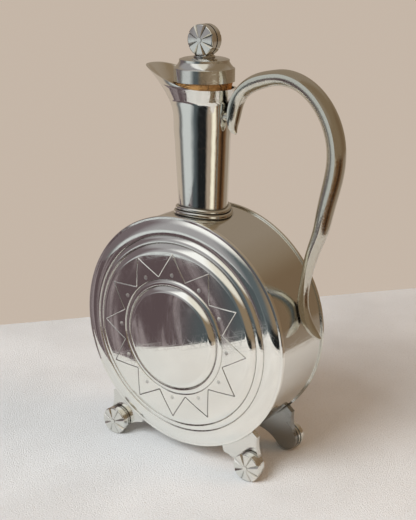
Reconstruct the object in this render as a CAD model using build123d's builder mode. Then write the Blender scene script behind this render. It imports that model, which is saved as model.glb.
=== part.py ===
import os
from math import copysign, cos, hypot, radians, sin, sqrt, tan

from build123d import *

# Pewter wine jug with a drum-shaped body, a tall flared neck and a cork-lined stopper.
# The origin is on the table, on the neck's axis. +X is the handle side, the pouring lip
# is at -X, and the front plate faces -Y. All sizes are in millimetres.

# Drum
drum_radius = 65.2
drum_depth = 44.2
drum_wall = 1.2

# Spun face plates: width and rise of each ring in turn, from the rim inwards to the dome
rim_overhang = 0.8
rim_width = 1.5
rim_depth = 2.0
rim_round = 0.5
border_width = 8.3
border_rise = 2.2
outer_bead_width = 3.8
outer_bead_rise = 1.3
field_shoulder_width = 4.9
field_shoulder_rise = 2.5
field_width = 14.4
field_rise = 0.5
inner_bead_width = 3.4
inner_bead_rise = 0.5
dome_shoulder_width = 4.1
dome_shoulder_rise = 2.4
dome_rise = 2.2
bead_step = 0.35
bead_crown = 0.45
border_crown = 0.75
shoulder_crown = 0.65
field_crown = 0.25
dome_crown = 0.55

# Neck: it starts inside the drum wall, narrows to a throat and flares out to the lip. The
# rises of lip and rim are above the throat, and those of the rim's slope above its low back
neck_wall = 1.1
neck_root_depth = 5.2
neck_base_radius = 13.1
throat_rise = 53.8
throat_front = 17.2
throat_back = 15.0
throat_half_width = 14.8
lip_rise = 27.0
lip_front = 38.9
lip_back = 18.4
lip_half_width = 17.2
lip_curl = 1.75
mouth_curl = 0.9
rim_rise = 13.2
rim_level_reach = 10.0
rim_middle_reach = 12.0
rim_middle_rise = 3.6
rim_upper_reach = 30.5
rim_upper_rise = 9.5
rim_tip_over = 1.5
rim_tip_rise = 11.4
rim_tip_slope = 0.12
neck_steps = 9
lip_steps = 5
lip_squareness = 0.7
outline_points = 28

# Collar where the neck meets the drum
collar_reach = 3.0
collar_height = 2.4
collar_top_reach = 2.1
collar_top_height = 2.0
collar_round = 0.85

# Handle strap, upper part as (reach behind the throat, height over the throat, width,
# thickness) and lower part as (gap to the drum wall, angle above level, width, thickness)
handle_upper = [
    (5.4, -9.5, 1.6, 1.0),
    (3.0, -6.5, 6.6, 3.4),
    (2.6, -0.5, 9.4, 4.8),
    (4.7, 8.9, 10.2, 5.4),
    (10.5, 16.5, 10.4, 5.8),
    (22.0, 22.2, 10.6, 6.4),
    (36.5, 23.6, 11.1, 6.5),
    (50.0, 18.0, 11.4, 6.7),
    (61.5, 4.5, 12.0, 6.9),
]
handle_lower = [
    (68.85, 52.61, 12.0, 7.0),
    (54.71, 48.28, 12.0, 7.0),
    (37.54, 42.95, 12.0, 5.9),
    (24.45, 38.25, 11.4, 4.5),
    (12.83, 31.27, 7.9, 4.1),
    (6.51, 23.42, 5.2, 4.9),
    (4.67, 17.06, 5.8, 5.0),
    (5.89, 10.95, 6.8, 3.4),
    (10.74, 6.20, 1.2, 1.0),
]
handle_crown = 0.17
handle_pad_width = 5.0
handle_pad_length = 8.0
handle_pad_depth = 2.6

# Feet
foot_angle = 35.3
foot_length = 15.7
bracket_thickness = 3.2
bracket_clearance = 0.05
bracket_root_half_width = 11.6
bracket_corner_half_width = 13.0
bracket_corner_drop = 3.7
bracket_waist_half_width = 8.9
bracket_waist_drop = 9.2
bracket_end_inset = 1.2
ground_flat = 0.25

# Rosettes, on the feet and on the stopper
rosette_radius = 8.1
rosette_proud = 2.9
rosette_edge_round = 0.8
rosette_dome = 0.5
rosette_back_radius = 7.5
rosette_back = 1.0
edge_groove_depth = 0.9
edge_groove_width = 0.6
petal_count = 8
petal_groove_start = 1.1
petal_groove_spread = 1.2
petal_groove_dip = 12.0
boss_radius = 1.25
boss_height = 0.3

# Stopper
cork_show = 3.2
cap_radius = 16.1
cap_band = 7.0
cap_wall = 1.0
cap_edge_round = 0.5
cap_step_radius = 13.2
cap_step_rise = 3.0
cap_step_edge = 1.2
cap_top_radius = 8.4
cap_top_rise = 5.2
cap_slope_dip = 0.3
finial_radius = 8.1
finial_thickness = 8.6
finial_groove_width = 0.9
finial_groove_depth = 0.5
finial_foot_radius = 5.6
finial_foot_height = 3.4
finial_foot_waist = 4.4
finial_foot_lip = 0.8
finial_gap_height = 0.7
cork_shoulder_drop = 0.2
cork_seat_clearance = 0.45
cork_end_clearance = 0.65
cork_seat_drop = 3.4
cork_length = 26.4
cork_chamfer = 1.0
stem_radius = 2.5
stem_clearance = 0.1
washer_radius = 8.0
washer_thickness = 1.4
nut_radius = 4.2
nut_height = 2.4
nut_chamfer = 0.9

# Places worked out from the sizes above
rim_radius = drum_radius + rim_overhang
throat_height = drum_radius + throat_rise
neck_base_height = drum_radius - neck_root_depth
lip_height = throat_height + lip_rise
rim_height = throat_height + rim_rise
foot_reach = drum_radius + foot_length
foot_x = foot_reach * sin(radians(foot_angle))
foot_z = rosette_radius - ground_flat
axis_height = foot_z + foot_reach * cos(radians(foot_angle))
rim_y = drum_depth / 2
drum_axis = Axis((0, 0, axis_height), (0, 1, 0))
side_plane = Plane(origin=(0, 0, axis_height), x_dir=(1, 0, 0), z_dir=(0, -1, 0))
rim_level = axis_height + rim_height
cap_base = rim_level + cork_show
cap_top = cap_base + cap_band + cap_top_rise
finial_z = cap_top + finial_gap_height + finial_radius
cork_top = cap_base + cap_band - cap_wall
cork_bottom = cap_base - cork_length
cork_seat = cap_base - cork_seat_drop
cork_shoulder_radius = cap_radius - cap_wall
washer_base = cork_bottom - washer_thickness
finial_half = finial_thickness / 2
bracket_face = rim_y - rim_depth - bracket_clearance
rosette_length = rim_y + rosette_proud - bracket_face

os.makedirs("parts", exist_ok=True)


def save(part, name):
    part.label = name
    export_step(part, f"parts/{name}.step")


# Outline of a spun plate as (radius, rise) arcs, from the rim inwards. A small step down
# parts each bead from the ring outside it
def plate_arcs():
    rings = [
        (border_width, border_rise, border_crown, bead_step),
        (outer_bead_width, outer_bead_rise, bead_crown, bead_step),
        (field_shoulder_width, field_shoulder_rise, shoulder_crown, 0),
        (field_width, field_rise, field_crown, bead_step),
        (inner_bead_width, inner_bead_rise, bead_crown, bead_step),
        (dome_shoulder_width, dome_shoulder_rise, shoulder_crown, 0),
    ]
    arcs = []
    radius, rise, step = rim_radius - rim_width, 0, 0
    for width, gain, crown, next_step in rings:
        start = (radius - step, rise - step)
        end = (radius - width, rise + gain)
        middle = ((start[0] + end[0]) / 2, (start[1] + end[1]) / 2 + crown)
        arcs.append((start, middle, end))
        radius, rise, step = radius - width, rise + gain, next_step
    middle = (radius / 2, rise + dome_rise / 2 + dome_crown)
    arcs.append(((radius, rise), middle, (0, rise + dome_rise)))
    return arcs


# One face plate of spun sheet: side is -1 for the front and 1 for the back
def face_plate(side):
    def at(point, depth=0.0):
        radius, rise = point
        return (side * (rim_y + rise - depth), radius)

    with BuildPart() as plate:
        with BuildSketch(Plane(origin=(0, 0, axis_height), x_dir=(0, 1, 0), z_dir=(1, 0, 0))):
            with BuildLine():
                for depth in (0.0, drum_wall):
                    arcs = plate_arcs()
                    for index, (start, middle, end) in enumerate(arcs):
                        Spline(at(start, depth), at(middle, depth), at(end, depth))
                        if index + 1 < len(arcs) and arcs[index + 1][0] != end:
                            Line(at(end, depth), at(arcs[index + 1][0], depth))
                Line(at(arcs[-1][2]), at(arcs[-1][2], drum_wall))
                Polyline(
                    at((rim_radius - rim_width, 0)),
                    at((rim_radius - rim_round, 0)),
                    at((rim_radius, 0), rim_round),
                    at((rim_radius, 0), rim_depth),
                    at((drum_radius, 0), rim_depth),
                    at((drum_radius, 0), drum_wall),
                    at((rim_radius - rim_width, 0), drum_wall),
                )
            make_face()
        revolve(axis=drum_axis)
    return plate


# Neck section at a height above the drum's axis, as (front reach, back reach, half width)
def neck_section(height):
    taper = (height - neck_base_height) / (throat_height - neck_base_height)
    flare = max(0.0, (height - throat_height) / (lip_height - throat_height))
    front = neck_base_radius + (throat_front - neck_base_radius) * taper
    back = neck_base_radius + (throat_back - neck_base_radius) * taper
    half = neck_base_radius + (throat_half_width - neck_base_radius) * taper
    cone = (lip_height - neck_base_height) / (throat_height - neck_base_height)
    front_gain = lip_front - neck_base_radius - (throat_front - neck_base_radius) * cone
    back_gain = lip_back - neck_base_radius - (throat_back - neck_base_radius) * cone
    half_gain = lip_half_width - neck_base_radius - (throat_half_width - neck_base_radius) * cone
    front += front_gain * flare ** lip_curl
    back += back_gain * flare ** mouth_curl
    half += half_gain * flare ** mouth_curl
    return front, back, half


# Smooth closed outline of the neck: an ellipse low down, fuller-cornered towards the lip
def neck_outline(height, inset):
    front, back, half = neck_section(height)
    flare = max(0.0, (height - throat_height) / (lip_height - throat_height))
    power = 2 / (2 + lip_squareness * min(1.0, flare))
    middle = (back - front) / 2
    outline = []
    for number in range(outline_points):
        angle = radians(360 * (number + 0.5) / outline_points)
        along = copysign(abs(cos(angle)) ** power, cos(angle)) * ((back + front) / 2 - inset)
        across = copysign(abs(sin(angle)) ** power, sin(angle)) * (half - inset)
        outline.append((middle + along, across))
    return outline


def neck_solid(inset):
    throat = throat_height - neck_base_height
    lip = lip_height - throat_height
    heights = [neck_base_height + throat * step / neck_steps for step in range(neck_steps)]
    heights += [throat_height + lip * step / lip_steps for step in range(lip_steps + 1)]
    with BuildPart() as body:
        for height in heights:
            with BuildSketch(Plane.XY.offset(axis_height + height)):
                with BuildLine():
                    Spline(neck_outline(height, inset), periodic=True)
                make_face()
        loft()
    return body.part


# Drum wall with the hole that opens into the neck
with BuildPart() as drum:
    with BuildSketch(side_plane):
        Circle(drum_radius)
        Circle(drum_radius - drum_wall, mode=Mode.SUBTRACT)
    extrude(amount=rim_y - drum_wall, both=True)
    with BuildSketch(Plane.XY.offset(axis_height)):
        Circle(neck_base_radius - neck_wall)
    extrude(amount=drum_radius + drum_wall, mode=Mode.SUBTRACT)
save(drum.part, "drum_wall")

save(face_plate(-1).part, "front_plate")
save(face_plate(1).part, "back_plate")

# Neck: a tapered tube, flared into a broad lip and cut to a rising rim
neck_outside = neck_solid(0)
with BuildPart() as neck:
    add(neck_outside)
    add(neck_solid(neck_wall), mode=Mode.SUBTRACT)
    with BuildSketch(side_plane):
        Circle(drum_radius)
    extrude(amount=drum_depth, both=True, mode=Mode.SUBTRACT)
    with BuildSketch(side_plane):
        with BuildLine():
            Spline(
                (rim_level_reach, rim_height),
                (-rim_middle_reach, rim_height + rim_middle_rise),
                (-rim_upper_reach, rim_height + rim_upper_rise),
                (-(lip_front + rim_tip_over), rim_height + rim_tip_rise),
                tangents=[(-1, 0), (-1, rim_tip_slope)],
            )
            Polyline(
                (-(lip_front + rim_tip_over), rim_height + rim_tip_rise),
                (-(lip_front + rim_tip_over), lip_height + neck_wall),
                (lip_front, lip_height + neck_wall),
                (lip_front, rim_height),
                (rim_level_reach, rim_height),
            )
        make_face()
    extrude(amount=lip_front, both=True, mode=Mode.SUBTRACT)
save(neck.part, "neck")

# Collar: two rounded ridges that follow the curve of the drum
with BuildPart() as collar:
    for level, height, radius in (
        (0.0, collar_height, neck_base_radius + collar_reach),
        (collar_height, collar_top_height, neck_base_radius + collar_top_reach),
    ):
        with BuildPart(mode=Mode.PRIVATE) as ridge:
            with BuildSketch(side_plane):
                Circle(drum_radius + level + height)
                Circle(drum_radius + level, mode=Mode.SUBTRACT)
            extrude(amount=2 * radius, both=True)
            with BuildSketch(Plane.XY.offset(axis_height)):
                Circle(radius)
            extrude(amount=drum_radius + 2 * level + height, mode=Mode.INTERSECT)
            fillet(ridge.edges().filter_by(GeomType.LINE, reverse=True), collar_round)
        add(ridge.part)
    add(neck_outside, mode=Mode.SUBTRACT)
save(collar.part, "neck_collar")


# Handle: a strap with a flat outer face and a round inner side, thinned to a point at both
# ends. A pad of solder joins it to the neck where it comes nearest
def strap_path():
    points = [(throat_back + reach, throat_height + rise) for reach, rise, *size in handle_upper]
    for gap, angle, *size in handle_lower:
        reach = drum_radius + gap
        points.append((reach * cos(radians(angle)), reach * sin(radians(angle))))
    sizes = [size for first, second, *size in handle_upper + handle_lower]
    return points, sizes


with BuildPart() as handle:
    points, sizes = strap_path()
    path = Spline([(x, 0, axis_height + height) for x, height in points])
    for (x, height), (width, depth) in zip(points, sizes):
        place = (x, 0, axis_height + height)
        along = path.tangent_at(path.param_at_point(place))
        half = width / 2
        with BuildSketch(Plane(origin=place, x_dir=(0, 1, 0), z_dir=along)):
            with BuildLine():
                ThreePointArc((-half, 0), (0, handle_crown * width), (half, 0))
                EllipticalCenterArc((0, 0), half, depth, start_angle=180, arc_size=180)
            make_face()
    loft()
    pad_level = axis_height + min(points)[1]
    pad_plane = Plane(origin=(throat_back, 0, pad_level), z_dir=(1, 0, 0))
    with BuildSketch(pad_plane):
        SlotOverall(handle_pad_length, handle_pad_width, rotation=90)
    extrude(amount=handle_pad_depth, both=True)
    with BuildSketch(side_plane):
        Circle(drum_radius)
    extrude(amount=rim_y, both=True, mode=Mode.SUBTRACT)
    add(neck_outside, mode=Mode.SUBTRACT)
save(handle.part, "handle")


# A foot's frame: +y of the plane points out of the drum along the foot, and z out of the face
def foot_plane(hand, side, level):
    outward = Vector(hand * sin(radians(foot_angle)), 0, -cos(radians(foot_angle)))
    facing = Vector(0, side, 0)
    return Plane(origin=(0, side * level, axis_height), x_dir=outward.cross(facing), z_dir=facing)


def bracket(hand, side):
    end_radius = rosette_radius - bracket_end_inset
    root_reach = sqrt(drum_radius ** 2 - bracket_root_half_width ** 2)
    with BuildPart() as plate:
        with BuildSketch(foot_plane(hand, side, bracket_face)):
            with BuildLine():
                RadiusArc(
                    (-bracket_root_half_width, root_reach),
                    (bracket_root_half_width, root_reach),
                    drum_radius,
                )
                for way in (-1, 1):
                    corner = (way * bracket_corner_half_width, drum_radius + bracket_corner_drop)
                    Line((way * bracket_root_half_width, root_reach), corner)
                    ThreePointArc(
                        corner,
                        (way * bracket_waist_half_width, drum_radius + bracket_waist_drop),
                        (way * end_radius, foot_reach),
                    )
                ThreePointArc(
                    (-end_radius, foot_reach),
                    (0, foot_reach + end_radius),
                    (end_radius, foot_reach),
                )
            make_face()
        extrude(amount=-bracket_thickness)
    return plate


# V grooves that part the petals of a rosette whose face looks along Y at side * level. They
# start beside the centre and get deeper and wider outwards
def petal_grooves(side, level, radius):
    dip = radians(petal_groove_dip)
    height = radius * tan(dip) + rosette_dome
    facing = Vector(0, side, 0)
    with BuildPart() as grooves:
        for number in range(petal_count):
            angle = radians(360 / petal_count * (number + 0.5))
            outward = Vector(sin(angle), 0, cos(angle))
            start = outward * petal_groove_start + facing * (level + rosette_dome)
            run = outward * cos(dip) - facing * sin(dip)
            with BuildSketch(Plane(origin=start, x_dir=facing.cross(run), z_dir=run)):
                Polygon(
                    (0, 0),
                    (petal_groove_spread * height, height),
                    (-petal_groove_spread * height, height),
                    align=None,
                )
            extrude(amount=radius)
    return grooves.part


# Rounded corner of a rosette's face as start, middle and end of an arc
def corner_round(radius, level, side):
    turn = 1 - cos(radians(45))
    edge = level - rosette_edge_round
    return (
        (radius, side * edge),
        (radius - rosette_edge_round * turn, side * (level - rosette_edge_round * turn)),
        (radius - rosette_edge_round, side * level),
    )


def dome_line(radius, level, side):
    start = radius - rosette_edge_round
    middle = (start / 2, side * (level + rosette_dome * 0.75))
    return (start, side * level), middle, (0, side * (level + rosette_dome))


# Foot rosette with a round back and a groove round the edge, standing on a small flat
def rosette(side):
    face = bracket_face + rosette_length
    back = bracket_face + rosette_back
    neck_radius = rosette_radius - edge_groove_depth
    with BuildPart() as flower:
        with BuildSketch(Plane.XY):
            with BuildLine():
                Polyline(
                    (0, side * (face + rosette_dome)),
                    (0, side * bracket_face),
                    (rosette_back_radius, side * bracket_face),
                    (rosette_back_radius, side * back),
                    (neck_radius, side * back),
                    (neck_radius, side * (back + edge_groove_width)),
                    (rosette_radius, side * (back + edge_groove_width)),
                    (rosette_radius, side * (face - rosette_edge_round)),
                )
                ThreePointArc(*corner_round(rosette_radius, face, side))
                ThreePointArc(*dome_line(rosette_radius, face, side))
            make_face()
        revolve(axis=Axis.Y)
        add(petal_grooves(side, face, rosette_radius), mode=Mode.SUBTRACT)
        with BuildSketch(Plane.XZ.offset(-side * (face + rosette_dome))):
            Circle(boss_radius)
        extrude(amount=boss_height, both=True)
        with BuildSketch(Plane.XY.offset(-foot_z)):
            Rectangle(2 * rosette_radius, 4 * rim_y)
        extrude(amount=-rosette_radius, mode=Mode.SUBTRACT)
    return flower


for side, face_name in ((-1, "front"), (1, "back")):
    for hand, hand_name in ((-1, "left"), (1, "right")):
        save(bracket(hand, side).part, f"foot_{face_name}_{hand_name}")
        save(Pos(hand * foot_x, 0, foot_z) * rosette(side).part, f"rosette_{face_name}_{hand_name}")

# Stopper cap: a turned cap, open below for the cork
with BuildPart() as cap:
    with BuildSketch(Plane.XZ):
        band_top = cap_base + cap_band
        step = band_top + cap_step_rise
        with BuildLine():
            Polyline(
                (0, cap_top),
                (0, cork_top),
                (cork_shoulder_radius, cork_top),
                (cork_shoulder_radius, cap_base),
                (cap_radius, cap_base),
                (cap_radius, band_top - cap_edge_round),
            )
            slope_start = (cap_radius - cap_edge_round, band_top)
            RadiusArc((cap_radius, band_top - cap_edge_round), slope_start, -cap_edge_round)
            slope_middle = (
                (slope_start[0] + cap_step_radius) / 2,
                (band_top + step) / 2 - cap_slope_dip,
            )
            ThreePointArc(slope_start, slope_middle, (cap_step_radius, step))
            Line((cap_step_radius, step), (cap_step_radius, step + cap_step_edge))
            top_middle = (
                (cap_step_radius + cap_top_radius) / 2,
                (step + cap_step_edge + cap_top) / 2 + cap_slope_dip,
            )
            ThreePointArc((cap_step_radius, step + cap_step_edge), top_middle, (cap_top_radius, cap_top))
            Line((cap_top_radius, cap_top), (0, cap_top))
        make_face()
    revolve(axis=Axis.Z)
save(cap.part, "stopper_cap")

# Finial: a disc on edge with a rosette on both faces and a groove round its edge
with BuildPart() as finial:
    with BuildSketch(Plane.XY):
        with BuildLine():
            groove = finial_groove_width / 2
            for side in (-1, 1):
                ThreePointArc(*dome_line(finial_radius, finial_half, side))
                ThreePointArc(*corner_round(finial_radius, finial_half, side))
                Polyline(
                    (finial_radius, side * (finial_half - rosette_edge_round)),
                    (finial_radius, side * groove),
                    (finial_radius - finial_groove_depth, side * groove),
                    (finial_radius - finial_groove_depth, 0),
                )
            Line((0, -finial_half - rosette_dome), (0, finial_half + rosette_dome))
        make_face()
    revolve(axis=Axis.Y)
    for side in (-1, 1):
        add(petal_grooves(side, finial_half, finial_radius), mode=Mode.SUBTRACT)
    with BuildSketch(Plane.XZ):
        Circle(boss_radius)
    extrude(amount=finial_half + rosette_dome + boss_height, both=True)
save(Pos(0, 0, finial_z) * finial.part, "finial")

# Turned foot that carries the finial
with BuildPart() as finial_foot:
    with BuildSketch(Plane.XZ):
        with BuildLine():
            foot_top = cap_top + finial_foot_height
            lip_top = cap_top + finial_foot_lip
            Polyline((0, foot_top), (0, cap_top), (finial_foot_radius, cap_top), (finial_foot_radius, lip_top))
            waist_middle = (
                finial_foot_waist + (finial_foot_radius - finial_foot_waist) / 4,
                lip_top + (foot_top - lip_top) / 3,
            )
            ThreePointArc((finial_foot_radius, lip_top), waist_middle, (finial_foot_waist, foot_top))
            Line((finial_foot_waist, foot_top), (0, foot_top))
        make_face()
    revolve(axis=Axis.Z)
    with BuildSketch(Plane.XZ):
        with Locations((0, finial_z)):
            Circle(finial_radius)
    extrude(amount=finial_foot_radius, both=True, mode=Mode.SUBTRACT)
save(finial_foot.part, "finial_foot")

# Cork bung, tapered to seat in the throat, with a hole for the stem. Its sides keep a
# clearance to the narrowest width of the bore
def bore_radius(level):
    return min(hypot(*point) for point in neck_outline(level - axis_height, neck_wall))


cork_seat_radius = bore_radius(cork_seat) - cork_seat_clearance
cork_end_radius = bore_radius(cork_bottom) - cork_end_clearance
with BuildPart() as cork:
    with BuildSketch(Plane.XZ):
        Polygon(
            (stem_radius + stem_clearance, cork_top),
            (cork_shoulder_radius, cork_top),
            (cork_shoulder_radius, cap_base - cork_shoulder_drop),
            (cork_seat_radius, cork_seat),
            (cork_end_radius, cork_bottom + cork_chamfer),
            (cork_end_radius - cork_chamfer, cork_bottom),
            (stem_radius + stem_clearance, cork_bottom),
            align=None,
        )
    revolve(axis=Axis.Z)
save(cork.part, "cork")

with BuildPart() as stem:
    with BuildSketch(Plane.XY.offset(washer_base - nut_height / 2)):
        Circle(stem_radius)
    extrude(amount=cork_top - washer_base + nut_height / 2)
save(stem.part, "stopper_stem")

with BuildPart() as washer:
    with BuildSketch(Plane.XY.offset(washer_base)):
        Circle(washer_radius)
        Circle(stem_radius + stem_clearance, mode=Mode.SUBTRACT)
    extrude(amount=washer_thickness)
save(washer.part, "cork_washer")

# Round nut that closes the stem
with BuildPart() as nut:
    with BuildSketch(Plane.XY.offset(washer_base)):
        Circle(nut_radius)
    extrude(amount=-nut_height)
    chamfer(nut.edges().group_by(Axis.Z)[0], nut_chamfer)
    with BuildSketch(Plane.XY.offset(washer_base)):
        Circle(stem_radius)
    extrude(amount=-nut_height / 2, mode=Mode.SUBTRACT)
save(nut.part, "stem_nut")
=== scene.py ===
import math

import bmesh
import bpy
from mathutils import Matrix, Vector


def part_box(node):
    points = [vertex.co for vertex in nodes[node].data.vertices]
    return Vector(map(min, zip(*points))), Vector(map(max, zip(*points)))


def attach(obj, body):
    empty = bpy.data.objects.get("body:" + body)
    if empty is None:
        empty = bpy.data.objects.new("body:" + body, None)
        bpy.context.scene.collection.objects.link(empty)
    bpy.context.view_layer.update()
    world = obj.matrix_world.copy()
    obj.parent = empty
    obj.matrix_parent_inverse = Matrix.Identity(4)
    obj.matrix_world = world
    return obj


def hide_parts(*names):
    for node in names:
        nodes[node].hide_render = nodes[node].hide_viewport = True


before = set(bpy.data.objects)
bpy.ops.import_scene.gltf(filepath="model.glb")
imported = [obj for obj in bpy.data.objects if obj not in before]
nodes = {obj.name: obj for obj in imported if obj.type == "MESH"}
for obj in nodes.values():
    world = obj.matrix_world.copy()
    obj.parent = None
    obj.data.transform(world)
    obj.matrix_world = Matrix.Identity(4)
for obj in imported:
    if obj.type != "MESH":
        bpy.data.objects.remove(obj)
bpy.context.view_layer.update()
print("frame loaded:", len(nodes), "nodes")

mm = 0.001
scene = bpy.context.scene
scene.view_settings.view_transform = "Standard"


# Small helpers for shader trees: a value that is a socket is linked, any other is set
def addNode(tree, kind, values=None, **settings):
    node = tree.nodes.new(kind)
    for name, value in settings.items():
        setattr(node, name, value)
    for name, value in (values or {}).items():
        socket = node.inputs[name]
        if isinstance(value, bpy.types.NodeSocket):
            tree.links.new(value, socket)
        else:
            socket.default_value = value
    return node


def addMath(tree, operation, first, second=0.0, clamp=False):
    node = addNode(tree, "ShaderNodeMath", {0: first, 1: second}, operation=operation, use_clamp=clamp)
    return node.outputs[0]


def addVectorMath(tree, operation, *vectors):
    node = addNode(tree, "ShaderNodeVectorMath", dict(enumerate(vectors)), operation=operation)
    return node.outputs[0]


def remap(tree, value, low, high, start=0.0, end=1.0):
    limits = {"Value": value, "From Min": low, "From Max": high, "To Min": start, "To Max": end}
    return addNode(tree, "ShaderNodeMapRange", limits, interpolation_type="SMOOTHSTEP").outputs["Result"]


def blendColours(tree, amount, first, second):
    node = addNode(tree, "ShaderNodeMix", {0: amount, 6: first, 7: second}, data_type="RGBA")
    return node.outputs[2]  # a Mix node's colours are sockets 6, 7 and 2


def addRamp(tree, share, stops):
    ramp = addNode(tree, "ShaderNodeValToRGB", {"Fac": share})
    points = ramp.color_ramp.elements
    while len(points) < len(stops):
        points.new(1.0)
    for point, (position, colour) in zip(points, stops):
        point.position = position
        point.color = (*colour, 1.0)
    return ramp.outputs["Color"]


def addNoise(tree, place, **values):
    return addNode(tree, "ShaderNodeTexNoise", {"Vector": place, **values}).outputs["Fac"]


def mapped(tree, place, **values):
    return addNode(tree, "ShaderNodeMapping", {"Vector": place, **values}).outputs[0]


def objectPlace(tree):
    return addNode(tree, "ShaderNodeTexCoord").outputs["Object"]


def alongAxis(tree, place, axis):
    return addNode(tree, "ShaderNodeSeparateXYZ", {"Vector": place}).outputs[axis]


def addRelief(tree, surface, height, strength, distance, normal=None):
    bump = addNode(tree, "ShaderNodeBump", {"Height": height, "Strength": strength, "Distance": distance})
    if normal:
        tree.links.new(normal, bump.inputs["Normal"])
    tree.links.new(bump.outputs["Normal"], surface.inputs["Normal"])


def newGroup(name, inputs, outputs):
    group = bpy.data.node_groups.new(name, "ShaderNodeTree")
    for side, labels in (("INPUT", inputs), ("OUTPUT", outputs)):
        for label in labels:
            group.interface.new_socket(label, in_out=side, socket_type="NodeSocketFloat")
    return group, group.nodes.new("NodeGroupInput").outputs, group.nodes.new("NodeGroupOutput").inputs


def placeGroup(tree, group, **values):
    return addNode(tree, "ShaderNodeGroup", values, node_tree=group).outputs


def newMaterial(name):
    material = bpy.data.materials.new(name)
    material.use_nodes = True
    tree = material.node_tree
    return material, tree, tree.nodes["Principled BSDF"]


# Fine hairline scratches from years of wiping: long thin streaks in several directions
scratchLook = {"angles": (0.35, -0.62, 1.25, 2.3, -1.7), "twist": 0.15, "shift": 0.1, "lift": 0.2,
               "along": 0.012, "depth": 0.03, "cut": 0.70, "soft": 0.03}
scratches, given, wanted = newGroup("hairlineScratches", ["Scale"], ["Lines"])
place = objectPlace(scratches)
together = None
for number, angle in enumerate(scratchLook["angles"]):
    turned = mapped(scratches, place, Location=(scratchLook["shift"] * number, 0.0, scratchLook["lift"]),
                    Rotation=(0.0, angle, scratchLook["twist"] * number))
    squeezed = mapped(scratches, turned, Scale=(scratchLook["along"], scratchLook["depth"], 1.0))
    streaks = addNoise(scratches, squeezed, Scale=given["Scale"], Detail=0.0)
    lines = remap(scratches, streaks, scratchLook["cut"], scratchLook["cut"] + scratchLook["soft"])
    together = lines if together is None else addMath(scratches, "MAXIMUM", together, lines)
scratches.links.new(together, wanted["Lines"])

# Slow clouding of the polish, and a finer mottle
cloudLook = {"scale": 30.0, "broad": {"Detail": 3.0, "Distortion": 0.4}, "broadRange": (0.35, 0.68),
             "finer": 14.0, "small": {"Detail": 2.0}, "smallRange": (0.4, 0.75)}
clouding, given, wanted = newGroup("polishClouding", ["Scale"], ["Cloud", "Mottle"])
place = objectPlace(clouding)
broad = addNoise(clouding, place, Scale=given["Scale"], **cloudLook["broad"])
finer = addMath(clouding, "MULTIPLY", given["Scale"], cloudLook["finer"])
small = addNoise(clouding, place, Scale=finer, **cloudLook["small"])
clouding.links.new(remap(clouding, broad, *cloudLook["broadRange"]), wanted["Cloud"])
clouding.links.new(remap(clouding, small, *cloudLook["smallRange"]), wanted["Mottle"])

# Dark tarnish that stays where a polishing cloth can't reach
tarnishLook = {"samples": 6, "hiddenRange": (0.07, 0.42)}
tarnish, given, wanted = newGroup("recessTarnish", ["Reach", "Strength"], ["Tarnish"])
opened = addNode(tarnish, "ShaderNodeAmbientOcclusion", {"Distance": given["Reach"]},
                 samples=tarnishLook["samples"]).outputs["AO"]
hidden = remap(tarnish, addMath(tarnish, "SUBTRACT", 1.0, opened), *tarnishLook["hiddenRange"])
tarnish.links.new(addMath(tarnish, "MULTIPLY", hidden, given["Strength"], clamp=True), wanted["Tarnish"])


# Tilts the mirrored direction down, by an amount for each height; the shape stays
def leanNormal(tree, lean):
    low, high = lean[0][0], lean[-1][0]
    height = alongAxis(tree, objectPlace(tree), "Z")
    share = addMath(tree, "DIVIDE", addMath(tree, "SUBTRACT", height, low * mm), (high - low) * mm)
    amount = addRamp(tree, share, [((level - low) / (high - low), [tilt] * 3) for level, tilt in lean])
    down = addNode(tree, "ShaderNodeCombineXYZ", {"Z": amount}).outputs[0]
    normal = addNode(tree, "ShaderNodeNewGeometry").outputs["Normal"]
    return addVectorMath(tree, "NORMALIZE", addVectorMath(tree, "SUBTRACT", normal, down))


# What all the pewter shares; plainPewter's values hold where a finish gives no other
# The tarnish colour also gives the painted shade of the low engraved lines
pewterLook = {"metal": (0.89, 0.885, 0.835), "tarnish": (0.10, 0.085, 0.07, 1.0),
              "paintedLineShadeHeights": (0.052, 0.078), "tarnishRough": 0.35, "mottle": 0.08, "reliefDepth": 0.00005}
plainPewter = {"tint": (1.0, 1.0, 1.0), "clouds": 0.05, "hairlines": 0.06, "hairlineScale": 2600.0,
               "relief": 0.10, "reach": 0.0010, "paintedLineShades": None, "lean": None}
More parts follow.
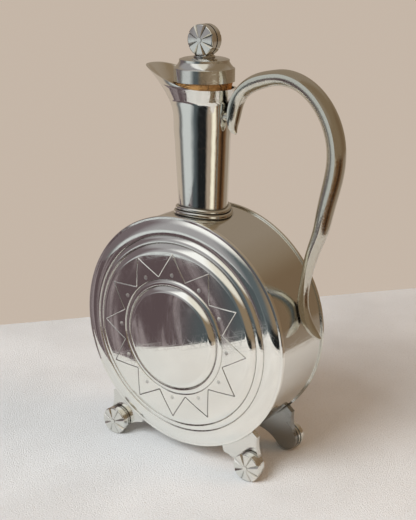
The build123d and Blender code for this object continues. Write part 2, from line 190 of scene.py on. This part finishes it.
# The neck below the lip mirrors the table: height in mm, then how far it leans
neckLean = [(176, 0.0), (181, 0.0), (184, 0.04), (187, 0.08), (190, 0.03), (194, 0.0), (198, 0.02),
            (199, 0.12), (200.2, 0.5), (206, 0.56), (208.5, 0.0)]
pewters = {
    "platePewter": {"shade": 1.06, "roughness": 0.03, "tarnish": 0.55, "clouds": 0.03, "hairlines": 0.08,
                    "hairlineScale": 2800.0, "relief": 0.07},
    "backPewter": {"shade": 0.93, "roughness": 0.10, "tarnish": 0.15, "hairlines": 0.08,
                   "hairlineScale": 2800.0, "relief": 0.07},
    "wallPewter": {"shade": 0.88, "roughness": 0.07, "tarnish": 0.4, "hairlines": 0.05,
                   "hairlineScale": 2400.0, "reach": 0.0012},
    "neckPewter": {"shade": 0.97, "roughness": 0.035, "tarnish": 0.8, "clouds": 0.03, "relief": 0.07,
                   "reach": 0.0015, "lean": neckLean},
    "handlePewter": {"shade": 0.76, "roughness": 0.12, "tarnish": 0.9, "reach": 0.0012,
                     "tint": (1.0, 0.98, 0.92)},
    "footPewter": {"shade": 0.92, "roughness": 0.09, "tarnish": 0.5, "clouds": 0.07, "relief": 0.15},
    # The back feet are painted much darker than the front ones, as painted shade
    "shadedBackFootPewter": {"shade": 0.38, "roughness": 0.16, "tarnish": 1.0, "clouds": 0.08, "relief": 0.20,
                   "reach": 0.0015},
    "stopperPewter": {"shade": 0.88, "roughness": 0.05, "tarnish": 0.7, "relief": 0.12},
    # Its lines get a painted shade that grows towards the bottom of the plate
    "engravedPewter": {"shade": 1.0, "roughness": 0.18, "tarnish": 0.2, "clouds": 0.08, "hairlines": 0.0,
                       "hairlineScale": 600.0, "relief": 0.20, "reach": 0.0006, "paintedLineShades": (0.34, 1.0)},
    "dotPewter": {"shade": 1.0, "roughness": 0.36, "tarnish": 0.2, "hairlines": 0.0,
                  "hairlineScale": 600.0, "relief": 0.20, "reach": 0.0006},
    "stemMetal": {"shade": 0.8, "roughness": 0.28, "tarnish": 0.8, "clouds": 0.10, "hairlines": 0.10,
                  "relief": 0.30},
}


def pewter(name, look):
    material, tree, surface = newMaterial(name)
    lines = placeGroup(tree, scratches, Scale=look["hairlineScale"])["Lines"]
    cloud = placeGroup(tree, clouding, Scale=cloudLook["scale"])
    dark = placeGroup(tree, tarnish, Reach=look["reach"], Strength=look["tarnish"])["Tarnish"]
    surface.inputs["Metallic"].default_value = 1.0
    metal = [look["shade"] * part * share for part, share in zip(pewterLook["metal"], look["tint"])]
    colour = blendColours(tree, dark, (*metal, 1.0), pewterLook["tarnish"])
    if look["paintedLineShades"]:  # lines low on the plate are painted darker than those above, as painted shade
        height = alongAxis(tree, objectPlace(tree), "Z")
        paintedLineShade = remap(tree, height, *pewterLook["paintedLineShadeHeights"], *look["paintedLineShades"])
        colour = blendColours(tree, paintedLineShade, pewterLook["tarnish"], colour)
    tree.links.new(colour, surface.inputs["Base Color"])
    rough = look["roughness"]
    for mask, amount in ((cloud["Cloud"], look["clouds"]), (lines, look["hairlines"]),
                         (dark, pewterLook["tarnishRough"])):
        rough = addMath(tree, "ADD", rough, addMath(tree, "MULTIPLY", mask, amount), clamp=True)
    tree.links.new(rough, surface.inputs["Roughness"])
    mottle = addMath(tree, "MULTIPLY", cloud["Mottle"], pewterLook["mottle"])
    normal = leanNormal(tree, look["lean"]) if look["lean"] else None
    addRelief(tree, surface, addMath(tree, "SUBTRACT", mottle, lines), look["relief"],
              pewterLook["reliefDepth"], normal)
    return material


finishes = {name: pewter(name, {**plainPewter, **look}) for name, look in pewters.items()}

# Cork: warm brown with darker cracks and pores
corkLook = {
    "light": (0.66, 0.37, 0.14, 1.0), "mid": (0.46, 0.23, 0.08, 1.0), "crack": (0.06, 0.03, 0.015, 1.0),
    "grain": {"Scale": 420.0, "Detail": 5.0, "Roughness": 0.65}, "grainRange": (0.35, 0.65),
    "cells": 300.0, "cellSquash": 3.0, "crackWidth": 0.09,
    "breaks": {"Scale": 160.0, "Detail": 2.0}, "breakRange": (0.45, 0.6),
    "roughness": 0.75, "grainRelief": 0.4, "relief": 0.7, "reliefDepth": 0.0003,
}
finishes["corkStopper"], tree, surface = newMaterial("corkStopper")
place = objectPlace(tree)
grain = addNoise(tree, place, **corkLook["grain"])
tone = blendColours(tree, remap(tree, grain, *corkLook["grainRange"]), corkLook["mid"], corkLook["light"])
squashed = mapped(tree, place, Scale=(1.0, 1.0, corkLook["cellSquash"]))
cells = addNode(tree, "ShaderNodeTexVoronoi", {"Vector": squashed, "Scale": corkLook["cells"]},
                feature="DISTANCE_TO_EDGE").outputs["Distance"]
breaks = remap(tree, addNoise(tree, place, **corkLook["breaks"]), *corkLook["breakRange"])
cracks = addMath(tree, "MULTIPLY", remap(tree, cells, 0.0, corkLook["crackWidth"], 1.0, 0.0), breaks)
tree.links.new(blendColours(tree, cracks, tone, corkLook["crack"]), surface.inputs["Base Color"])
surface.inputs["Roughness"].default_value = corkLook["roughness"]
height = addMath(tree, "SUBTRACT", addMath(tree, "MULTIPLY", grain, corkLook["grainRelief"]), cracks)
addRelief(tree, surface, height, corkLook["relief"], corkLook["reliefDepth"])

nodeFinishes = {
    "front_plate": "platePewter", "back_plate": "backPewter", "drum_wall": "wallPewter",
    "neck": "neckPewter", "neck_collar": "stopperPewter", "handle": "handlePewter",
    "stopper_cap": "stopperPewter", "finial": "stopperPewter", "finial_foot": "stopperPewter",
    "foot_back_left": "shadedBackFootPewter", "foot_back_right": "shadedBackFootPewter",
    "cork": "corkStopper", "stopper_stem": "stemMetal", "cork_washer": "stemMetal", "stem_nut": "stemMetal",
}
for name, piece in nodes.items():
    for slot in piece.material_slots:
        slot.material = finishes[nodeFinishes.get(name, "footPewter")]  # the other feet and the rosettes
print("finishes placed on", len(nodes), "nodes")

# Front plate, spun from its rings and then engraved; lengths in mm
# Each ring from the rim inwards: width, rise, crown, step down after it, divisions
plateLook = {
    "rings": [(8.3, 2.2, 0.75, 0.35, 10), (3.8, 1.3, 0.45, 0.35, 7), (4.9, 2.5, 0.65, 0.0, 9),
              (14.4, 0.5, 0.25, 0.35, 14), (3.4, 0.5, 0.45, 0.35, 7), (4.1, 2.4, 0.65, 0.0, 9),
              (25.6, 2.2, 0.55, 0.0, 20)],
    "backDivisions": 2, "rimWidth": 1.5, "rimRound": 0.5, "rimTurn": 0.3, "rimDepth": 2.0, "wall": 1.2,
    "overhang": 0.8, "spinSteps": 288, "closest": 0.01, "merge": 0.002, "sharpDegrees": 12,
    "finishes": ["platePewter", "engravedPewter", "dotPewter"],
}
# Lines and dots are cut into the mesh in patches round them, and then pressed in;
# dotRings, dotEdge and dotNearby are shares of dotSize, and front and slope say which faces count
starLook = {
    "points": 12, "tipRadius": 47.3, "innerRadius": 34.2, "lineWidth": 0.66, "lineDepth": 0.20,
    "lineCuts": (-0.5, 0.0, 0.5), "lineNearby": 1.3, "onLine": 0.006, "pastEnds": 0.001,
    "dotRadius": 35.6, "dotSize": 1.15, "dotDepth": 0.16, "dotSides": 8, "dotRings": (1.0, 0.55),
    "dotEdge": 0.98, "dotNearby": 2.2, "dotLength": 0.01, "cutSnap": 0.004, "front": -0.7, "slope": -0.3,
}
plateLow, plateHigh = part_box("front_plate")
plateCentre = (plateLow + plateHigh) / 2
plateRim = (plateHigh.z - plateLow.z) / 2 / mm
rimPlane = -plateHigh.y / mm + plateLook["rimDepth"]  # distance of the rim's front from the middle


def ringPoints(divided=True):
    radius, rise, step = plateRim - plateLook["rimWidth"], 0.0, 0.0
    points = []
    for width, gain, crown, nextStep, divisions in plateLook["rings"]:
        start, end = (radius - step, rise - step), (radius - width, rise + gain)
        parts = divisions if divided else plateLook["backDivisions"]
        for part in range(parts + 1):
            share = part / parts
            lift = 4 * crown * share * (1 - share)  # a parabola, as high as the crown half way
            points.append((start[0] + (end[0] - start[0]) * share,
                           start[1] + (end[1] - start[1]) * share + lift))
        radius, rise, step = radius - width, rise + gain, nextStep
    return points


def plateSection():
    back = [(radius, rise - plateLook["wall"]) for radius, rise in reversed(ringPoints(False))]
    edge, turn, depth = plateLook["rimRound"], plateLook["rimTurn"], plateLook["rimDepth"]
    seat = plateRim - plateLook["overhang"]
    rim = [(seat, -plateLook["wall"]), (seat, -depth), (plateRim, -depth), (plateRim, -edge),
           (plateRim - turn * edge, -turn * edge), (plateRim - edge, 0.0)]
    return back + rim + ringPoints()


def pointOnPlate(radius, rise=0.0, turn=0.0):
    return Vector((plateCentre.x + radius * math.sin(turn) * mm, -(rimPlane + rise) * mm,
                   plateCentre.z + radius * math.cos(turn) * mm))


plate = bmesh.new()
line = []
for radius, rise in plateSection():
    spot = pointOnPlate(max(radius, 0.0), rise)
    if not line or (spot - line[-1].co).length > plateLook["closest"] * mm:
        line.append(plate.verts.new(spot))
edges = [plate.edges.new(pair) for pair in zip(line, line[1:])]
bmesh.ops.spin(plate, geom=line + edges, cent=plateCentre, axis=(0, 1, 0), angle=2 * math.pi,
               steps=plateLook["spinSteps"], use_merge=True)
bmesh.ops.remove_doubles(plate, verts=plate.verts, dist=plateLook["merge"] * mm)
bmesh.ops.recalc_face_normals(plate, faces=plate.faces)
for face in plate.faces:
    face.smooth = True


# Seen from the front: distance from a line, and how far along it
def flatDistance(place, start, end):
    along = Vector((end.x - start.x, end.z - start.z))
    reach = Vector((place.x - start.x, place.z - start.z))
    share = reach.dot(along) / along.length_squared
    return (reach - along * min(1.0, max(0.0, share))).length, share


def patchAround(start, end, reach):
    faces = [face for face in plate.faces if face.normal.y < starLook["front"]
             and flatDistance(face.calc_center_median(), start, end)[0] < reach * mm]
    corners = {vert for face in faces for vert in face.verts}
    sides = {edge for face in faces for edge in face.edges}
    return faces + list(sides) + list(corners)


def cut(patch, place, normal):
    return bmesh.ops.bisect_plane(
        plate, geom=patch, dist=starLook["cutSnap"] * mm, plane_co=place, plane_no=normal)["geom"]


def starSpots(radius, shift=0.0):
    turns = [2 * math.pi * (number + shift) / starLook["points"] for number in range(starLook["points"])]
    return [pointOnPlate(radius, turn=turn) for turn in turns]


tips, inner = starSpots(starLook["tipRadius"]), starSpots(starLook["innerRadius"], 0.5)
arms = [(tips[number], inner[near]) for number in range(starLook["points"]) for near in (number, number - 1)]
for start, end in arms:
    across = (end - start).cross(Vector((0, 1, 0))).normalized()
    patch = patchAround(start, end, starLook["lineNearby"])
    for offset in starLook["lineCuts"]:
        patch = cut(patch, start + across * offset * starLook["lineWidth"] * mm, across)
engraved = set()
for start, end in arms:
    for vert in plate.verts:
        apart, share = flatDistance(vert.co, start, end)
        onLine = apart < starLook["onLine"] * mm and -starLook["pastEnds"] < share < 1 + starLook["pastEnds"]
        if onLine and vert.normal.y < starLook["front"]:
            engraved.add(vert)
for vert in engraved:
    vert.co.y += starLook["lineDepth"] * mm
print("star engraved:", len(engraved), "points moved")

punched = set()
for dot in starSpots(starLook["dotRadius"]):
    patch = patchAround(dot, dot + Vector((starLook["dotLength"] * mm, 0, 0)),
                        starLook["dotNearby"] * starLook["dotSize"])
    for size in starLook["dotRings"]:
        for side in range(starLook["dotSides"]):
            turn = 2 * math.pi * side / starLook["dotSides"]
            outward = Vector((math.sin(turn), 0, math.cos(turn)))
            patch = cut(patch, dot + outward * size * starLook["dotSize"] * mm, outward)
    for vert in (item for item in patch if isinstance(item, bmesh.types.BMVert)):
        apart = math.hypot(vert.co.x - dot.x, vert.co.z - dot.z) / mm / starLook["dotSize"]
        if apart < starLook["dotEdge"]:
            vert.co.y += starLook["dotDepth"] * (1 - apart * apart) * mm
            punched.add(vert)
for face in plate.faces:
    if face.normal.y < starLook["slope"]:
        if punched.intersection(face.verts):
            face.material_index = plateLook["finishes"].index("dotPewter")
        elif engraved.intersection(face.verts):
            face.material_index = plateLook["finishes"].index("engravedPewter")
print("dots punched:", len(punched), "points moved")


def addPiece(name, shape, materials):
    mesh = bpy.data.meshes.new(name)
    shape.to_mesh(mesh)
    shape.free()
    for material in materials:
        mesh.materials.append(material)
    piece = bpy.data.objects.new(name, mesh)
    scene.collection.objects.link(piece)
    return piece


frontPlate = addPiece("engraved_front_plate", plate, [finishes[name] for name in plateLook["finishes"]])
frontPlate.data.set_sharp_from_angle(angle=math.radians(plateLook["sharpDegrees"]))
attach(frontPlate, "jug")
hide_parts("front_plate")
print("front plate made:", len(frontPlate.data.polygons), "faces")


# Surroundings: a linen table, a cloth beside it, the room and two lamps
def flatPiece(name, corners, material):
    shape = bmesh.new()
    bmesh.ops.contextual_create(shape, geom=[shape.verts.new(corner) for corner in corners])
    return addPiece(name, shape, [material])


tableLook = {
    "corners": [(-0.230, 0.055, 0.0), (0.030, -0.350, 0.0), (0.360, -0.140, 0.0), (0.058, 0.404, 0.0)],
    "colour": (0.83, 0.85, 0.87, 1.0), "slub": (0.73, 0.745, 0.76, 1.0), "speck": (0.56, 0.53, 0.50, 1.0),
    "weaveNoise": {"Scale": 1200.0, "Detail": 3.0, "Roughness": 0.7},
    "slubNoise": {"Scale": 12.0, "Detail": 3.0}, "slubShare": 0.5, "slubRange": (0.40, 0.60),
    "speckNoise": {"Scale": 700.0, "Detail": 4.0, "Roughness": 0.8}, "speckRange": (0.42, 0.30),
    "roughness": 0.9, "relief": 1.0, "reliefDepth": 0.0006,
}
linen, tree, surface = newMaterial("linenTable")
place = objectPlace(tree)
weave = addNoise(tree, place, **tableLook["weaveNoise"])
slub = addMath(tree, "MULTIPLY", addNoise(tree, place, **tableLook["slubNoise"]), tableLook["slubShare"])
worn = addMath(tree, "ADD", slub, addMath(tree, "MULTIPLY", weave, 1 - tableLook["slubShare"]))
tone = blendColours(tree, remap(tree, worn, *tableLook["slubRange"]), tableLook["slub"], tableLook["colour"])
specks = remap(tree, addNoise(tree, place, **tableLook["speckNoise"]), *tableLook["speckRange"])
tree.links.new(blendColours(tree, specks, tone, tableLook["speck"]), surface.inputs["Base Color"])
surface.inputs["Roughness"].default_value = tableLook["roughness"]
addRelief(tree, surface, weave, tableLook["relief"], tableLook["reliefDepth"])
table = flatPiece("table", tableLook["corners"], linen)

# A plum cloth stands along the table's left edge, where only the metal sees it
clothLook = {
    "start": (-0.212, 0.040), "end": (0.015, -0.318), "height": 0.095,
    "dark": (0.10, 0.072, 0.078, 1.0), "litFold": (0.28, 0.235, 0.245, 1.0),
    "foldNoise": {"Scale": 60.0, "Detail": 2.0}, "foldRange": (0.45, 0.65), "foldStretch": 0.15,
    "shaded": (0.075, 0.092, 0.100, 1.0), "shadedFrom": (-0.085, -0.035),
}
plumCloth, tree, surface = newMaterial("plumCloth")
tree.nodes.remove(surface)  # it glows a little instead, as cloth in the room's light
place = objectPlace(tree)
upright = mapped(tree, place, Scale=(1.0, 1.0, clothLook["foldStretch"]))
# The folds are painted lighter and darker across the flat cloth, as painted light and shade
foldLightAndShade = remap(tree, addNoise(tree, upright, **clothLook["foldNoise"]), *clothLook["foldRange"])
tone = blendColours(tree, foldLightAndShade, clothLook["dark"], clothLook["litFold"])
shaded = remap(tree, alongAxis(tree, place, "X"), *clothLook["shadedFrom"])
tone = blendColours(tree, shaded, tone, clothLook["shaded"])
glow = addNode(tree, "ShaderNodeEmission", {"Color": tone, "Strength": 1.0})
tree.links.new(glow.outputs[0], tree.nodes["Material Output"].inputs["Surface"])
start, end, top = clothLook["start"], clothLook["end"], clothLook["height"]
cloth = flatPiece("plum_cloth", [(*start, 0.0), (*end, 0.0), (*end, top), (*start, top)], plumCloth)
cloth.visible_camera = cloth.visible_diffuse = cloth.visible_shadow = False

# The room that the metal mirrors, painted by direction; the camera itself sees the plain backdrop
roomColours = {
    "wall": (0.52, 0.44, 0.37), "panel": (0.32, 0.26, 0.20), "shade": (0.17, 0.17, 0.17),
    "window": (0.60, 0.63, 0.64), "daylight": (0.96, 0.96, 0.96), "ceiling": (0.35, 0.34, 0.355),
    "plum": (0.16, 0.13, 0.14), "dusk": (0.10, 0.12, 0.13), "gap": (0.014, 0.015, 0.016),
    "lampWall": (0.40, 0.32, 0.25), "lampGlow": (1.0, 0.93, 0.76), "cream": (0.78, 0.74, 0.66),
    "oak": (0.25, 0.185, 0.12), "wood": (0.15, 0.075, 0.032), "darkWood": (0.025, 0.013, 0.008),
    "umber": (0.205, 0.14, 0.085),
}
# Three bands of the room, with bearings from the front in degrees, positive to the right.
# middleStart and highStart are where a band gives way to the next one, as a share of straight up,
# and the sides give a bearing from and to, with how much sooner the middle band starts at each
roomLook = {
    "low": [(-180, "wall"), (-78, "wall"), (-67, "shade"), (-61, "shade"), (-51, "window"),
            (-22, "window"), (-4, "dusk"), (13, "gap"), (41, "gap"), (50, "lampWall"), (62, "lampWall"),
            (69, "lampGlow"), (79, "lampGlow"), (88, "wood"), (104, "wood"), (118, "darkWood"),
            (134, "wood"), (150, "panel"), (168, "panel"), (180, "wall")],
    "middle": [(-180, "oak"), (-150, "panel"), (-115, "panel"), (-100, "plum"), (-55, "plum"),
               (-43, "ceiling"), (-20, "ceiling"), (-4, "dusk"), (10, "dusk"), (24, "oak"), (118, "oak"),
               (138, "umber"), (156, "umber"), (172, "oak"), (180, "oak")],
    "high": [(-180, "panel"), (-115, "panel"), (-90, "ceiling"), (-48, "ceiling"), (-34, "daylight"),
             (-12, "daylight"), (8, "cream"), (52, "cream"), (68, "panel"), (80, "panel"), (100, "oak"),
             (150, "oak"), (180, "panel")],
    "middleStart": (-0.10, -0.02), "highStart": (0.34, 0.54),
    "rightSide": (-15, 5, 0.0, 0.09), "leftSide": (-72, -64, 0.10, 0.0),
    "backdrop": (0.56, 0.47, 0.39, 1.0),
}
room = bpy.data.worlds.new("room")
scene.world = room
room.use_nodes = True
tree = room.node_tree
tree.nodes.clear()
direction = addNode(tree, "ShaderNodeTexCoord").outputs["Generated"]
parts = addNode(tree, "ShaderNodeSeparateXYZ", {"Vector": direction}).outputs
fromFront = addMath(tree, "ARCTAN2", parts["X"], addMath(tree, "MULTIPLY", parts["Y"], -1.0))
bearing = addMath(tree, "DEGREES", fromFront)
turnShare = addMath(tree, "ADD", addMath(tree, "MULTIPLY", bearing, 1 / 360), 0.5)
bands = {}
for band in ("low", "middle", "high"):
    stops = [(degrees / 360 + 0.5, roomColours[name]) for degrees, name in roomLook[band]]
    bands[band] = addRamp(tree, turnShare, stops)
sooner = addMath(tree, "ADD", remap(tree, bearing, *roomLook["rightSide"]),
                 remap(tree, bearing, *roomLook["leftSide"]))
toMiddle = remap(tree, addMath(tree, "ADD", parts["Z"], sooner), *roomLook["middleStart"])
toHigh = remap(tree, parts["Z"], *roomLook["highStart"])
around = blendColours(tree, toMiddle, bands["low"], bands["middle"])
around = blendColours(tree, toHigh, around, bands["high"])
cameraRay = addNode(tree, "ShaderNodeLightPath").outputs["Is Camera Ray"]
shown = blendColours(tree, cameraRay, around, roomLook["backdrop"])
backdrop = addNode(tree, "ShaderNodeBackground", {"Color": shown, "Strength": 1.0})
output = addNode(tree, "ShaderNodeOutputWorld")
tree.links.new(backdrop.outputs[0], output.inputs["Surface"])

lampLook = {
    "windowLight": {"place": (-0.25, -1.28, 1.15), "aim": (0.0, 0.0, 0.1), "size": 0.9, "power": 25.0,
                    "colour": (0.96, 0.99, 1.0)},
    "warmFill": {"place": (1.10, 0.55, 0.55), "aim": (0.0, 0.0, 0.1), "size": 0.8, "power": 4.6,
                 "colour": (1.0, 0.50, 0.18)},
}
for name, look in lampLook.items():
    lamp = bpy.data.lights.new(name, "AREA")
    lamp.shape = "SQUARE"
    lamp.size = look["size"]
    lamp.energy = look["power"]
    lamp.color = look["colour"]
    lampPiece = bpy.data.objects.new(name, lamp)
    scene.collection.objects.link(lampPiece)
    lampPiece.location = look["place"]
    towards = Vector(look["aim"]) - Vector(look["place"])
    lampPiece.rotation_euler = towards.to_track_quat("-Z", "Y").to_euler()
    lampPiece.visible_glossy = False  # the metal mirrors the painted room instead
print("surroundings made")

# Camera at the photograph's viewing angle; the focal length and the long side are in pixels
cameraLook = {"place": (0.2906, -0.4092, 0.2723), "azimuth": 35.07, "elevation": 17.84, "roll": 0.47,
              "focal": 950.0, "longSide": 520.0, "sensor": 36.0, "clipStart": 0.01}
turn, dip, roll = (math.radians(cameraLook[angle]) for angle in ("azimuth", "elevation", "roll"))
forward = Vector((-math.sin(turn) * math.cos(dip), math.cos(turn) * math.cos(dip), -math.sin(dip)))
right = forward.cross(Vector((0, 0, 1))).normalized()
up = right.cross(forward)
rolledRight = math.cos(roll) * right + math.sin(roll) * up
rolledUp = math.cos(roll) * up - math.sin(roll) * right
cameraData = bpy.data.cameras.new("photoCamera")
cameraData.sensor_width = cameraLook["sensor"]
cameraData.lens = cameraLook["sensor"] * cameraLook["focal"] / cameraLook["longSide"]
cameraData.clip_start = cameraLook["clipStart"]
camera = bpy.data.objects.new("photoCamera", cameraData)
scene.collection.objects.link(camera)
camera.matrix_world = Matrix.Translation(cameraLook["place"]) @ Matrix(
    (rolledRight, rolledUp, -forward)).transposed().to_4x4()
scene.camera = camera
print("camera placed")
